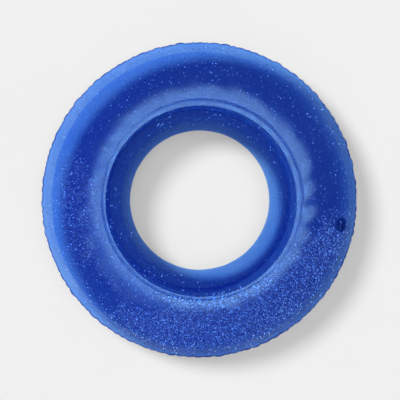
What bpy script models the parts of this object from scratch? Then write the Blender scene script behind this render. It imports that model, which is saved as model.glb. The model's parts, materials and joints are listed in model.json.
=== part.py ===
"""Inflatable swim ring: three film panels, a push-in valve and loose glitter.

The ring lies flat on the XY plane, centred on the Z axis, with its underside at z = 0.
All lengths are in metres.
"""

import math

import bmesh
import bpy
from mathutils import Matrix, Vector

# Ring, measured over the inflated film
OUTER_RADIUS = 0.395
FIN_WIDTH = 0.004
HOLE_RADIUS = 0.1745
SEAM_RADIUS = 0.231
SEAM_HEIGHT = 0.1067
SEAM_TILT = math.radians(9.0)
SHOULDER_ANGLE = math.radians(50.0)
FLAT_DEPTH = 0.0005
FILM = 0.0003
GAP = 0.0003
LAP_WIDTH = 0.010
RING_STEPS = 72
RING_STEP = 2.0 * math.pi / RING_STEPS
SHOULDER_PIECES = 4
CROWN_PIECES = 2
WALL_PIECES = 10

# Valve, placed on the outer flank of the lower panel; w runs out of the film
VALVE_AZIMUTH = math.radians(-10.0)
VALVE_DIP = math.radians(37.0)
FLANGE_RADIUS = 0.018
FLANGE_THICKNESS = 0.0012
FLANGE_SPREAD = math.radians(15.0)
FILM_HOLE_RADIUS = 0.0098
COLLAR_RADIUS = 0.0094
COLLAR_TOP = 0.0020
COLLAR_FOOT = -0.0022
COLLAR_BORE = 0.0072
STEM_RADIUS = 0.0065
STEM_BORE = 0.0045
STEM_FOOT = -0.0130
RIM_RADIUS = 0.0086
RIM_FOOT = 0.0024
RIM_TOP = 0.0040
SKIRT_TOP = -0.0034
SKIRT_FOOT = -0.0120
SKIRT_TOP_RADIUS = 0.0096
SKIRT_FOOT_RADIUS = 0.0078
SKIRT_WALL = 0.0006
FLAP_RADIUS = 0.0058
FLAP_THICKNESS = 0.0008
CAP_FOOT = 0.00435
CAP_THICKNESS = 0.0020
CAP_BEVEL = 0.0006
STOPPER_DEPTH = 0.0050
STOPPER_RADIUS = 0.00415
STOPPER_TIP_RADIUS = 0.0030
LUG_REACH = 0.0106
LUG_WIDTH = 0.0060
LUG_THICKNESS = 0.0010
LUG_ROOT = 0.0070
STRAP_WIDTH = 0.0050
STRAP_THICKNESS = 0.0009
STRAP_STEPS = 10
ROUND_STEPS = 32

# Loose glitter, two drifts lying on the lower panel's inner face
DRIFT_THICKNESS = 0.0005
RIGHT_DRIFT = (math.radians(-120.0), math.radians(-20.0))
LEFT_DRIFT = (math.radians(-190.0), math.radians(-155.0))
DRIFT_FOOT_ANGLE = math.radians(10.0)

# Meshing
CUTTER_REACH = 0.012
MERGE_DISTANCE = 1e-6
SHARP_ANGLE = math.radians(40.0)

# The upper panel is a shoulder arc from the outer weld and a flatter crown arc to the inner seam.
# Both radii follow from the seam's place and tilt.
TUBE_RADIUS = OUTER_RADIUS - FIN_WIDTH
SEAM_ANGLE = math.pi / 2 + SEAM_TILT


def arc_radii():
    """Solve the shoulder and crown radii so that the crown ends at the inner seam."""
    a = 1.0 - math.cos(SHOULDER_ANGLE)
    b = math.cos(SHOULDER_ANGLE) - math.cos(SEAM_ANGLE)
    c = math.sin(SHOULDER_ANGLE)
    d = math.sin(SEAM_ANGLE) - math.sin(SHOULDER_ANGLE)
    span = TUBE_RADIUS - SEAM_RADIUS
    det = a * d - b * c
    shoulder = (span * d - b * SEAM_HEIGHT) / det
    crown = (a * SEAM_HEIGHT - c * span) / det
    return shoulder, crown


SHOULDER_RADIUS, CROWN_RADIUS = arc_radii()
SHOULDER_CENTRE = TUBE_RADIUS - SHOULDER_RADIUS
CROWN_CENTRE = SHOULDER_CENTRE + (SHOULDER_RADIUS - CROWN_RADIUS) * math.cos(SHOULDER_ANGLE)
CROWN_BASE = (SHOULDER_RADIUS - CROWN_RADIUS) * math.sin(SHOULDER_ANGLE)
CREST_HEIGHT = CROWN_BASE + CROWN_RADIUS
FLAT_HALF_ANGLE = math.acos(1.0 - FLAT_DEPTH / CROWN_RADIUS)
EQUATOR = CREST_HEIGHT - FLAT_DEPTH


def spread(first, last, pieces):
    """Angles from first to last in equal steps, both ends included."""
    return [first + (last - first) * i / pieces for i in range(pieces + 1)]


def panel_point(angle, inset):
    """Point of the panel's section at an angle from the outer weld, set in from the outer face."""
    if angle < SHOULDER_ANGLE:
        reach = SHOULDER_RADIUS - inset
        return SHOULDER_CENTRE + reach * math.cos(angle), reach * math.sin(angle)
    reach = CROWN_RADIUS - inset
    return CROWN_CENTRE + reach * math.cos(angle), CROWN_BASE + reach * math.sin(angle)


def panel_angles():
    """Section angles of a panel, with both ends of the flat that rests on the ground."""
    crest = math.pi / 2
    shoulder = spread(0.0, SHOULDER_ANGLE, SHOULDER_PIECES)
    rise = spread(SHOULDER_ANGLE, crest - FLAT_HALF_ANGLE, CROWN_PIECES)
    fall = spread(crest + FLAT_HALF_ANGLE, SEAM_ANGLE, CROWN_PIECES)
    return shoulder + rise[1:] + fall


def panel_line(inset):
    """One face of a panel from the outer weld to the inner seam, flattened where it would rest."""
    flat = CREST_HEIGHT - FLAT_DEPTH - inset
    points = [panel_point(angle, inset) for angle in panel_angles()]
    return [(r, min(max(z, GAP / 2), flat)) for r, z in points]


def panel_section():
    """Closed section of the upper panel, with its weld fin at the outer edge."""
    outer = panel_line(0.0)
    inner = panel_line(FILM)
    outer[0] = (TUBE_RADIUS, GAP / 2 + FILM)
    inner[0] = (TUBE_RADIUS - FILM, GAP / 2)
    fin_top = (OUTER_RADIUS, GAP / 2 + FILM)
    fin_foot = (OUTER_RADIUS, GAP / 2)
    return [fin_top] + outer + inner[::-1] + [fin_foot]


def wall_line(inset):
    """One face of the inner wall: a lap under the upper panel, an arc round the hole, a lap below."""
    lap_angle = SEAM_ANGLE - LAP_WIDTH / CROWN_RADIUS
    lap = [panel_point(angle, FILM + GAP + inset) for angle in (lap_angle, SEAM_ANGLE)]
    seam_r, seam_z = panel_point(SEAM_ANGLE, FILM + GAP)
    depth = seam_r - HOLE_RADIUS
    radius = (depth * depth + seam_z * seam_z) / (2.0 * depth)
    centre = HOLE_RADIUS + radius
    half = math.asin(seam_z / radius)
    reach = radius - inset
    arc = [(centre - reach * math.cos(a), reach * math.sin(a)) for a in spread(half, -half, WALL_PIECES)]
    below = [(r, -z) for r, z in lap[::-1]]
    if inset > 0.0:
        return lap[:1] + arc + below[1:]
    return lap + arc[1:-1] + below


def wall_section():
    """Closed section of the inner wall."""
    return wall_line(0.0) + wall_line(FILM)[::-1]


def drift_section(low_angle, high_angle):
    """Closed section of a glitter drift that lies on the lower panel's inner face."""
    angles = [a for a in panel_angles() if low_angle <= a <= high_angle]
    flat = CREST_HEIGHT - FLAT_DEPTH
    lines = []
    for inset in (FILM + GAP, FILM + GAP + DRIFT_THICKNESS):
        points = [panel_point(angle, inset) for angle in angles]
        lines.append([(r, -min(z, flat - inset)) for r, z in points])
    return lines[0] + lines[1][::-1]


def plain_material(name, colour, roughness, metallic=0.0, alpha=1.0):
    """Principled material with one colour."""
    material = bpy.data.materials.new(name)
    material.use_nodes = True
    shader = material.node_tree.nodes["Principled BSDF"]
    shader.inputs["Base Color"].default_value = (*colour, 1.0)
    shader.inputs["Roughness"].default_value = roughness
    shader.inputs["Metallic"].default_value = metallic
    shader.inputs["Alpha"].default_value = alpha
    return material


def add_object(name, bm, material, matrix=Matrix.Identity(4)):
    """Put a bmesh in the scene as a smooth shaded object at a place."""
    bmesh.ops.remove_doubles(bm, verts=bm.verts, dist=MERGE_DISTANCE)
    bmesh.ops.recalc_face_normals(bm, faces=bm.faces)
    mesh = bpy.data.meshes.new(name)
    bm.to_mesh(mesh)
    bm.free()
    mesh.shade_smooth()
    mesh.set_sharp_from_angle(angle=SHARP_ANGLE)
    mesh.materials.append(material)
    obj = bpy.data.objects.new(name, mesh)
    obj.matrix_world = matrix
    bpy.context.collection.objects.link(obj)
    return obj


def turned(section, start=0.0, sweep=2.0 * math.pi, steps=ROUND_STEPS):
    """Turn a closed section of (radius, height) points round Z; part turns get flat ends."""
    bm = bmesh.new()
    turn = Matrix.Rotation(start, 3, "Z")
    verts = [bm.verts.new(turn @ Vector((r, 0.0, z))) for r, z in section]
    edges = [bm.edges.new((a, b)) for a, b in zip(verts, verts[1:] + verts[:1])]
    whole = sweep >= 2.0 * math.pi
    geom = verts + edges
    spun = bmesh.ops.spin(bm, geom=geom, axis=(0, 0, 1), angle=sweep, steps=steps, use_merge=whole)
    if not whole:
        bmesh.ops.contextual_create(bm, geom=edges)
        last = [e for e in spun["geom_last"] if isinstance(e, bmesh.types.BMEdge)]
        bmesh.ops.contextual_create(bm, geom=last)
    return bm


def solid_of_revolution(outline, steps=ROUND_STEPS):
    """Turn an outline that starts and ends on the Z axis into a closed round solid."""
    bm = bmesh.new()
    verts = [bm.verts.new((r, 0.0, z)) for r, z in outline]
    edges = [bm.edges.new((a, b)) for a, b in zip(verts, verts[1:])]
    geom = verts + edges
    bmesh.ops.spin(bm, geom=geom, axis=(0, 0, 1), angle=2.0 * math.pi, steps=steps, use_merge=True)
    return bm


def bar(radius, foot, top):
    """Plain round bar on the Z axis."""
    return solid_of_revolution([(0.0, top), (radius, top), (radius, foot), (0.0, foot)])


def block(size, centre):
    """Rectangular block of a size about a centre."""
    bm = bmesh.new()
    bmesh.ops.create_cube(bm, size=1.0, matrix=Matrix.Translation(centre) @ Matrix.Diagonal((*size, 1.0)))
    return bm


def cut(target, tool_bm, matrix, operation):
    """Combine a tool shape with an object by a Boolean and keep the result as its mesh."""
    tool = add_object(target.name + "_tool", tool_bm, target.data.materials[0], matrix)
    tool.hide_render = True
    tool.display_type = "WIRE"
    modifier = target.modifiers.new("shape", "BOOLEAN")
    modifier.operation = operation
    modifier.solver = "EXACT"
    modifier.object = tool
    bpy.context.view_layer.update()
    graph = bpy.context.evaluated_depsgraph_get()
    result = bpy.data.meshes.new_from_object(target.evaluated_get(graph))
    target.modifiers.remove(modifier)
    target.data = result
    bpy.data.objects.remove(tool)


def valve_frame():
    """Place and axes of the valve: X along the ring, Z straight out of the film."""
    out = Vector((math.cos(VALVE_AZIMUTH), math.sin(VALVE_AZIMUTH), 0.0))
    along = Vector((-math.sin(VALVE_AZIMUTH), math.cos(VALVE_AZIMUTH), 0.0))
    normal = out * math.cos(VALVE_DIP) - Vector((0.0, 0.0, math.sin(VALVE_DIP)))
    across = normal.cross(along)
    r, z = panel_point(VALVE_DIP, 0.0)
    place = out * r + Vector((0.0, 0.0, EQUATOR - z))
    axes = Matrix((along, across, normal)).transposed().to_4x4()
    return Matrix.Translation(place) @ axes


def strap_heights():
    """Heights of the stem's lug and of the plug's lug, which the strap joins."""
    return (RIM_FOOT + RIM_TOP) / 2, CAP_FOOT + CAP_THICKNESS / 2


def lug(height):
    """Strap lug on the +X side at a height."""
    length = LUG_REACH - LUG_ROOT
    return block((length, LUG_WIDTH, LUG_THICKNESS), Vector((LUG_ROOT + length / 2, 0.0, height)))


def build_film(film, frame):
    """Upper panel, lower panel with the valve's hole, and the wall round the swimmer's hole."""
    lift = Matrix.Translation((0.0, 0.0, EQUATOR))
    upper = panel_section()
    lower = [(r, -z) for r, z in upper]
    add_object("upper_panel", turned(upper, steps=RING_STEPS), film, lift)
    panel = add_object("lower_panel", turned(lower, steps=RING_STEPS), film, lift)
    cut(panel, bar(FILM_HOLE_RADIUS, -CUTTER_REACH, CUTTER_REACH), frame, "DIFFERENCE")
    add_object("inner_wall", turned(wall_section(), steps=RING_STEPS), film, lift)


def build_flange(vinyl, frame):
    """Valve flange: a disc that follows the film's inner face, with a collar through the film."""
    low = math.floor((VALVE_AZIMUTH - FLANGE_SPREAD) / RING_STEP) * RING_STEP
    high = math.ceil((VALVE_AZIMUTH + FLANGE_SPREAD) / RING_STEP) * RING_STEP
    angles = spread(0.0, SHOULDER_ANGLE, SHOULDER_PIECES)[1:]
    face = [panel_point(a, FILM + GAP) for a in angles]
    back = [panel_point(a, FILM + GAP + FLANGE_THICKNESS) for a in angles]
    section = [(r, -z) for r, z in face + back[::-1]]
    lift = Matrix.Translation((0.0, 0.0, EQUATOR))
    steps = round((high - low) / RING_STEP)
    flange = add_object("valve_flange", turned(section, low, high - low, steps), vinyl, lift)
    cut(flange, bar(FLANGE_RADIUS, -CUTTER_REACH, CUTTER_REACH), frame, "INTERSECT")
    cut(flange, bar(COLLAR_RADIUS, COLLAR_FOOT, COLLAR_TOP), frame, "UNION")
    cut(flange, bar(COLLAR_BORE, -CUTTER_REACH, CUTTER_REACH), frame, "DIFFERENCE")


def build_skirt(vinyl, frame):
    """Soft skirt that joins the stem's inner end to the flange and folds as the stem comes out."""
    section = [
        (SKIRT_TOP_RADIUS, SKIRT_TOP),
        (SKIRT_FOOT_RADIUS, SKIRT_FOOT),
        (SKIRT_FOOT_RADIUS - SKIRT_WALL, SKIRT_FOOT),
        (SKIRT_TOP_RADIUS - SKIRT_WALL, SKIRT_TOP),
    ]
    add_object("valve_skirt", turned(section), vinyl, frame)


def build_stem(vinyl, frame):
    """Valve stem: a tube with a rim that stops on the collar and a lug for the plug's strap."""
    section = [
        (RIM_RADIUS, RIM_TOP),
        (RIM_RADIUS, RIM_FOOT),
        (STEM_RADIUS, RIM_FOOT),
        (STEM_RADIUS, STEM_FOOT),
        (STEM_BORE, STEM_FOOT),
        (STEM_BORE, RIM_TOP),
    ]
    stem = add_object("valve_stem", turned(section), vinyl, frame)
    cut(stem, lug(strap_heights()[0]), frame, "UNION")


def build_plug(vinyl, frame):
    """Plug: a cap with a tapered stopper for the stem's bore; its origin is on the strap's fold."""
    pivot = Vector((LUG_REACH + GAP, 0.0, sum(strap_heights()) / 2))
    outline = [
        (0.0, CAP_FOOT + CAP_THICKNESS),
        (RIM_RADIUS - CAP_BEVEL, CAP_FOOT + CAP_THICKNESS),
        (RIM_RADIUS, CAP_FOOT + CAP_THICKNESS - CAP_BEVEL),
        (RIM_RADIUS, CAP_FOOT),
        (STOPPER_RADIUS, CAP_FOOT),
        (STOPPER_TIP_RADIUS, CAP_FOOT - STOPPER_DEPTH),
        (0.0, CAP_FOOT - STOPPER_DEPTH),
    ]
    bm = solid_of_revolution(outline)
    bmesh.ops.translate(bm, verts=bm.verts, vec=-pivot)
    plug = add_object("valve_plug", bm, vinyl, frame @ Matrix.Translation(pivot))
    cut(plug, lug(strap_heights()[1]), frame, "UNION")


def build_strap(vinyl, frame):
    """Strap folded in a half round between the stem's lug and the plug's lug."""
    low, high = strap_heights()
    middle = Vector((LUG_REACH + GAP, -STRAP_WIDTH / 2, (low + high) / 2))
    angles = spread(-math.pi / 2, math.pi / 2, STRAP_STEPS)
    outside = [((high - low + STRAP_THICKNESS) / 2, a) for a in angles]
    inside = [((high - low - STRAP_THICKNESS) / 2, a) for a in angles[::-1]]
    bm = bmesh.new()
    points = [middle + r * Vector((math.cos(a), 0.0, math.sin(a))) for r, a in outside + inside]
    face = bm.faces.new([bm.verts.new(p) for p in points])
    side = bmesh.ops.extrude_face_region(bm, geom=[face])
    moved = [v for v in side["geom"] if isinstance(v, bmesh.types.BMVert)]
    bmesh.ops.translate(bm, verts=moved, vec=(0.0, STRAP_WIDTH, 0.0))
    add_object("plug_strap", bm, vinyl, frame)


def build_flap(vinyl, frame):
    """One-way flap under the stem's inner end; its origin is on its hinge at the stem's side."""
    top = STEM_FOOT - GAP
    bm = bar(FLAP_RADIUS, -FLAP_THICKNESS, 0.0)
    bmesh.ops.translate(bm, verts=bm.verts, vec=(-FLAP_RADIUS, 0.0, 0.0))
    add_object("valve_flap", bm, vinyl, frame @ Matrix.Translation((FLAP_RADIUS, 0.0, top)))


def build_glitter(foil):
    """Two drifts of loose glitter on the lower panel, between its outer weld and its inner seam."""
    lift = Matrix.Translation((0.0, 0.0, EQUATOR))
    section = drift_section(DRIFT_FOOT_ANGLE, SEAM_ANGLE - 2.0 * LAP_WIDTH / CROWN_RADIUS)
    for name, (start, end) in (("glitter_drift_right", RIGHT_DRIFT), ("glitter_drift_left", LEFT_DRIFT)):
        steps = round((end - start) / RING_STEP)
        add_object(name, turned(section, start, end - start, steps), foil, lift)


def main():
    for obj in list(bpy.data.objects):
        bpy.data.objects.remove(obj)
    film = plain_material("blue_film", (0.05, 0.17, 0.72), 0.12, alpha=0.55)
    vinyl = plain_material("valve_vinyl", (0.04, 0.10, 0.45), 0.35)
    foil = plain_material("glitter_foil", (0.62, 0.76, 0.95), 0.2, metallic=0.9)
    frame = valve_frame()
    build_film(film, frame)
    build_flange(vinyl, frame)
    build_skirt(vinyl, frame)
    build_stem(vinyl, frame)
    build_plug(vinyl, frame)
    build_strap(vinyl, frame)
    build_flap(vinyl, frame)
    build_glitter(foil)


main()
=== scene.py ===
"""Inflatable swim ring of translucent blue film with loose glitter and a push-in valve.

The script loads the ring's CAD frame and builds the visible pieces on it as an add-on: film, glitter, valve
and a small studio. Lengths are in metres, +Z is up and the ring lies on z = 0.
"""

import json
import math
from functools import partial

import bmesh
import bpy
import numpy as np
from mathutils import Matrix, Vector


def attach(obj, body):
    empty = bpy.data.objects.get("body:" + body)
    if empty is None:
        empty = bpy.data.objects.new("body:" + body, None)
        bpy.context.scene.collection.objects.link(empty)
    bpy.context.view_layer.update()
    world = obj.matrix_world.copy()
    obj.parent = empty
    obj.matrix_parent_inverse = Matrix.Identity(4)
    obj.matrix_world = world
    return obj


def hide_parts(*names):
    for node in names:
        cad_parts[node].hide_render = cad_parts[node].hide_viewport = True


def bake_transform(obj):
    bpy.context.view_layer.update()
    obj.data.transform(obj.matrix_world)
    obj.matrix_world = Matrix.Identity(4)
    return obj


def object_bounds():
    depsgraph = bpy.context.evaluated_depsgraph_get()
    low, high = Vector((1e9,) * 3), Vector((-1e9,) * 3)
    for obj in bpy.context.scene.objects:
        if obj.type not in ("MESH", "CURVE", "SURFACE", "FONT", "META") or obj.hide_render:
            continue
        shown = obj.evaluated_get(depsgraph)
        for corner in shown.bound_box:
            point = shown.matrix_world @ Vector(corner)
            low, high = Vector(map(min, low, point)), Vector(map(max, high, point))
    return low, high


bl_info = {
    "name": "Swim ring",
    "version": (1, 0, 0),
    "blender": (4, 5, 0),
    "location": "3D View > Sidebar > Swim ring",
    "description": "Inflatable swim ring of blue film with glitter and a valve, built on its CAD frame",
    "category": "Object",
}

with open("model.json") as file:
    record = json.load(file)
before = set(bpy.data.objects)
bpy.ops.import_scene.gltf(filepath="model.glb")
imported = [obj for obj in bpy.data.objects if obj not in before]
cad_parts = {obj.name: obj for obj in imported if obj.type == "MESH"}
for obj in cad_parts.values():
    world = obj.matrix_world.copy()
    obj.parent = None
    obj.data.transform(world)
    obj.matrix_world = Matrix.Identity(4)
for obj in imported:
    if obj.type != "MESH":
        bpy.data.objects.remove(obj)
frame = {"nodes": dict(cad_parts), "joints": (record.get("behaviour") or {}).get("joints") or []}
CAD_LOW, CAD_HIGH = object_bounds()
FULL_TURN = 2.0 * math.pi


def cad_points(node):
    """Corners of a CAD node in the shared frame, one row each."""
    mesh = frame["nodes"][node].data
    points = np.empty(3 * len(mesh.vertices))
    mesh.vertices.foreach_get("co", points)
    return points.reshape(-1, 3)


def cad_radii(node):
    """Distance of a CAD node's corners from the ring's axis."""
    return np.hypot(*cad_points(node)[:, :2].T)


def joint(name):
    """Joint of the CAD frame by its name."""
    return next(j for j in frame["joints"] if j["name"] == name)


EQUATOR = CAD_HIGH.z / 2.0
SEAM_CORNER = cad_points("upper_panel")[np.argmin(cad_radii("upper_panel"))]


def setting(kind, name, description, default, **options):
    """Property of a kind, with its label, description and default."""
    return kind(name=name, description=description, default=default, **options)


def angle(name, description, degrees):
    """Angle property, its default given in degrees."""
    return setting(bpy.props.FloatProperty, name, description, math.radians(degrees), subtype="ANGLE")


length = partial(setting, bpy.props.FloatProperty, min=0.0, precision=5, unit="LENGTH")
number = partial(setting, bpy.props.FloatProperty, precision=4)
count = partial(setting, bpy.props.IntProperty, min=0)
colour = partial(setting, bpy.props.FloatVectorProperty, subtype="COLOR", min=0.0, max=1.0)
position = partial(setting, bpy.props.FloatVectorProperty, subtype="XYZ", unit="LENGTH")
direction = partial(setting, bpy.props.FloatVectorProperty, subtype="DIRECTION")


class RingShape(bpy.types.PropertyGroup):
    """Sizes of the inflated film."""

    outer_radius: length("Outer radius", "Radius over the outer weld", cad_radii("upper_panel").max())
    hole_radius: length("Hole radius", "Radius of the swimmer's hole", cad_radii("inner_wall").min())
    seam_radius: length("Seam radius", "Radius of the inner seam", cad_radii("upper_panel").min())
    seam_height: length("Seam height", "Height of the inner seam over the weld", SEAM_CORNER[2] - EQUATOR)
    seam_tilt: angle("Seam tilt", "Slope of the film at the inner seam", 9.0)
    shoulder_angle: angle("Shoulder angle", "Section angle at which the crown arc starts", 50.0)
    fin_width: length("Fin width", "Width of the flat weld at the outer edge", 0.004)
    fillet: length("Fillet", "Radius between the weld and the film", 0.0012)
    film: length("Film", "Thickness of the film", 0.0003)
    weld_gap: length("Weld gap", "Gap between the two layers of a weld", 0.0003)
    lap_width: length("Lap width", "Width of the inner weld", 0.010)
    groove: length("Groove", "Middling distance of the inner weld's groove from the seam", 0.0118)
    groove_drift: length("Groove drift", "Distance by which the groove lies off the seam's centre", 0.0036)
    groove_azimuth: angle("Groove azimuth", "Direction in which the groove lies off centre", 45.0)
    groove_depth: length("Groove depth", "Middling depth of the inner weld's groove", 0.00065)
    shallow: number("Shallow", "Share by which the groove is shallower on two opposite sides", 0.55)
    shallow_azimuth: angle("Shallow azimuth", "Direction in which the groove is the shallowest", 140.0)
    rest: length("Rest", "Height of the film where it lies on the ground", 0.0003)
    puckers: count("Puckers", "Gathers round the outer weld", 128)
    brim: length("Brim", "Way from the outer weld over which the upper film is thinner", 0.070)
    # Painted shade: the brim is made less thin, and so darker, on the side towards the brim's shade azimuth.
    brim_painted_shade: number("Brim drift", "Share by which the brim is less thin on one side", 0.45)
    brim_shade_azimuth: angle("Brim azimuth", "Direction in which the brim is the least thin", 30.0)
    pucker_depth: length("Pucker depth", "Height of a middling gather", 0.0022)
    pucker_fade: length("Pucker fade", "Way from the weld over which a gather dies out", 0.007)
    fin_wave: length("Fin wave", "Rise and fall of the outer weld", 0.0014)
    dent_depth: length("Dent depth", "Depth of the film's shallow dents", 0.0005)
    bead: length("Bead", "Height of the bead along the inner seam", 0.0004)
    weld_lift: length("Weld lift", "Rise of the upper inner weld over the film's own curve", 0.0010)
    weld_fade: length("Weld fade", "Way from the upper inner seam over which that rise dies out", 0.009)
    around: count("Around", "Steps round the ring", 720)
    seed: count("Seed", "Seed of the gathers and dents", 11)


class FilmLook(bpy.types.PropertyGroup):
    """Look of the film."""

    tint: colour("Tint", "Light that one face of the film lets through", (0.565, 0.768, 0.998))
    fin_tint: colour("Fin tint", "Light that one face of the outer weld lets through", (0.42, 0.56, 0.80))
    thin: number("Thin", "Share by which the upper film is thinner along the outer weld", 0.60)
    body: colour("Body", "Colour of the film's own haze", (0.014, 0.055, 1.0))
    haze: number("Haze", "Share of light that one face scatters head on", 0.075)
    mirror: number("Mirror", "Share of light that one face mirrors head on", 0.041)
    slant: number("Slant", "Share of light that one face mirrors edge on", 0.12)
    gleam: colour("Gleam", "Colour of the film's mirror", (0.43, 0.75, 1.0))
    roughness: number("Roughness", "Roughness of the film's mirror", 0.21)
    shadow: colour("Shadow", "Light that one face lets through to other things", (0.56, 0.56, 0.57))


class GlitterShape(bpy.types.PropertyGroup):
    """Loose glitter inside the ring."""

    right: count("Right drift", "Flakes in each of the two layers of the drift on the right", 9900)
    left: count("Left drift", "Flakes in the drift on the left", 3000)
    clinging: count("Clinging", "Flakes that cling to the film over the right drift", 3400)
    crease: count("Crease", "Flakes caught along the outer weld", 2400)
    seam: count("Seam", "Flakes that cling along the inner seam", 800)
    loose: count("Loose", "Flakes strewn thinly between both drifts", 900)
    single: count("Single", "Flakes scattered over the whole ring", 5200)
    flake: length("Flake", "Middling radius of a flake", 0.0009)
    thickness: length("Thickness", "Thickness of a flake", 0.00006)
    tilt: angle("Tilt", "Middling tilt of a flake off its bed", 10.0)
    silver: colour("Silver", "Colour of the smooth flakes", (1.0, 0.90, 1.0))
    roughness: number("Roughness", "Middling roughness of a flake", 0.20)
    violet: colour("Violet", "Colour of the rough flakes", (0.60, 0.46, 1.0))
    seed: count("Seed", "Seed of the flakes", 5)


class ValveShape(bpy.types.PropertyGroup):
    """Sizes of the valve, along and round its own axis out of the film."""

    flange_radius: length("Flange radius", "Radius of the disc inside the film", 0.018)
    flange: length("Flange", "Thickness of the disc", 0.0012)
    collar_radius: length("Collar radius", "Radius of the collar through the film", 0.0094)
    collar_top: length("Collar top", "Height of the collar over the film", 0.0020)
    bore: length("Bore", "Radius of the collar's bore", 0.0072)
    film_hole: length("Film hole", "Radius of the hole in the film", 0.0098)
    stem_radius: length("Stem radius", "Radius of the blow tube", 0.0065)
    stem_bore: length("Stem bore", "Radius of the blow tube's bore", 0.0045)
    stem_depth: length("Stem depth", "Reach of the blow tube inside the film", 0.0130)
    rim_radius: length("Rim radius", "Radius of the blow tube's rim", 0.0086)
    rim_foot: length("Rim foot", "Height of the rim's underside", 0.0024)
    rim_top: length("Rim top", "Height of the rim's face", 0.0040)
    cap_foot: length("Cap foot", "Height of the cap's underside", 0.00435)
    cap: length("Cap", "Thickness of the cap", 0.0020)
    stopper: length("Stopper", "Reach of the stopper into the blow tube", 0.0050)
    strap_width: length("Strap width", "Width of the plug's strap", 0.0050)
    strap: length("Strap", "Thickness of the plug's strap", 0.0010)
    strap_reach: length("Strap reach", "Distance of the strap's fold from the valve's axis", 0.0109)
    skirt_top: length("Skirt top", "Depth at which the skirt joins the flange", 0.0034)
    skirt_foot: length("Skirt foot", "Depth at which the skirt joins the blow tube", 0.0120)
    flap_radius: length("Flap radius", "Radius of the one-way flap", 0.0058)
    flap: length("Flap", "Thickness of the one-way flap", 0.0008)
    vinyl: colour("Vinyl", "Colour of the valve", (0.012, 0.045, 0.30))
    steps: count("Steps", "Steps round the valve", 64)


class Studio(bpy.types.PropertyGroup):
    """Floor, lamps and camera."""

    floor: colour("Floor", "Colour of the floor", (0.86, 0.86, 0.86))
    # Painted light: this share of the floor glows for the camera and in mirrors, which lightens the ring's
    # shadow.
    floor_glow: number("Floor glow", "Share of the floor's colour that the camera sees without light", 0.35)
    # Painted light: a blue glow of the floor, seen only through the film, stands in for light that came
    # through the film.
    painted_through_light: colour("Under glow", "Glow of the floor seen through the film", (0.016, 0.034, 0.22))
    painted_light_far: number("Under far", "Share of that glow on the side away from the key light", 0.6)
    painted_light_start: position("Under start", "Place from which that glow grows", (0.12, 0.05, 0.0))
    floor_radius: length("Floor radius", "Radius of the floor", 14.0)
    key: number("Key", "Strength of the lamp from the upper left", 2.40)
    key_azimuth: angle("Key azimuth", "Direction that the key light comes from", 145.0)
    key_reach: length("Key reach", "Distance of the key light from the ring's axis", 3.7)
    key_height: length("Key height", "Height of the key light over the floor", 6.4)
    key_radius: length("Key radius", "Radius of the key light", 1.17)
    glow: number("Glow", "Brightness of the soft light overhead", 3.9)
    glow_core: angle("Glow core", "Angle from the middle at which the glow starts to fade", 2.0)
    glow_edge: angle("Glow edge", "Angle from the middle at which the glow has faded out", 22.0)
    glow_lean: direction("Glow lean", "Direction of the glow's middle", (0.07, 0.08, 1.0))
    fill: number("Fill", "Brightness of the dimmer light from the lower left", 1.15)
    fill_core: angle("Fill core", "Angle from the middle at which the dimmer light starts to fade", 3.0)
    fill_edge: angle("Fill edge", "Angle from the middle at which the dimmer light has faded out", 17.0)
    fill_lean: direction("Fill lean", "Direction of the dimmer light's middle", (-0.32, -0.32, 1.0))
    sky: number("Sky", "Brightness of the dim room", 0.05)
    camera: position("Camera", "Place of the camera", (-0.103, 0.070, 3.2))
    aim: position("Aim", "Point in the middle of the picture", (0.0003, 0.0006, EQUATOR))
    lens: number("Lens", "Focal length in millimetres", 111.07)


class SwimRing(bpy.types.PropertyGroup):
    """All settings of the swim ring."""

    ring: bpy.props.PointerProperty(type=RingShape)
    film: bpy.props.PointerProperty(type=FilmLook)
    glitter: bpy.props.PointerProperty(type=GlitterShape)
    valve: bpy.props.PointerProperty(type=ValveShape)
    studio: bpy.props.PointerProperty(type=Studio)


class PanelSection:
    """Section of the upper panel: a shoulder arc from the weld and a flatter crown arc to the inner seam."""

    def __init__(self, ring):
        self.tube = ring.outer_radius - ring.fin_width
        self.shoulder_angle = low = ring.shoulder_angle
        self.seam_angle = high = math.pi / 2.0 + ring.seam_tilt
        rows = [
            [1.0 - math.cos(low), math.cos(low) - math.cos(high)],
            [math.sin(low), math.sin(high) - math.sin(low)],
        ]
        self.shoulder, self.crown = np.linalg.solve(rows, [self.tube - ring.seam_radius, ring.seam_height])
        self.shoulder_centre = self.tube - self.shoulder
        self.crown_centre = self.shoulder_centre + (self.shoulder - self.crown) * math.cos(low)
        self.crown_base = (self.shoulder - self.crown) * math.sin(low)
        self.shoulder_way = self.shoulder * low
        self.way = self.shoulder_way + self.crown * (high - low)

    def at_angle(self, turn):
        """Radius and height over the weld of the outer face at section angles."""
        low = turn < self.shoulder_angle
        radius = np.where(low, self.shoulder_centre, self.crown_centre)
        reach = np.where(low, self.shoulder, self.crown)
        base = np.where(low, 0.0, self.crown_base)
        return radius + reach * np.cos(turn), base + reach * np.sin(turn)

    def angle_at_way(self, way):
        """Section angle at a way along the film from the weld."""
        crown = self.shoulder_angle + (way - self.shoulder_way) / self.crown
        return np.where(way < self.shoulder_way, way / self.shoulder, crown)

    def angle_at_radius(self, radius):
        """Section angle at a distance from the ring's axis."""
        low = np.arccos(np.clip((radius - self.shoulder_centre) / self.shoulder, -1.0, 1.0))
        high = np.arccos(np.clip((radius - self.crown_centre) / self.crown, -1.0, 1.0))
        return np.where(low < self.shoulder_angle, low, high)


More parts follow.
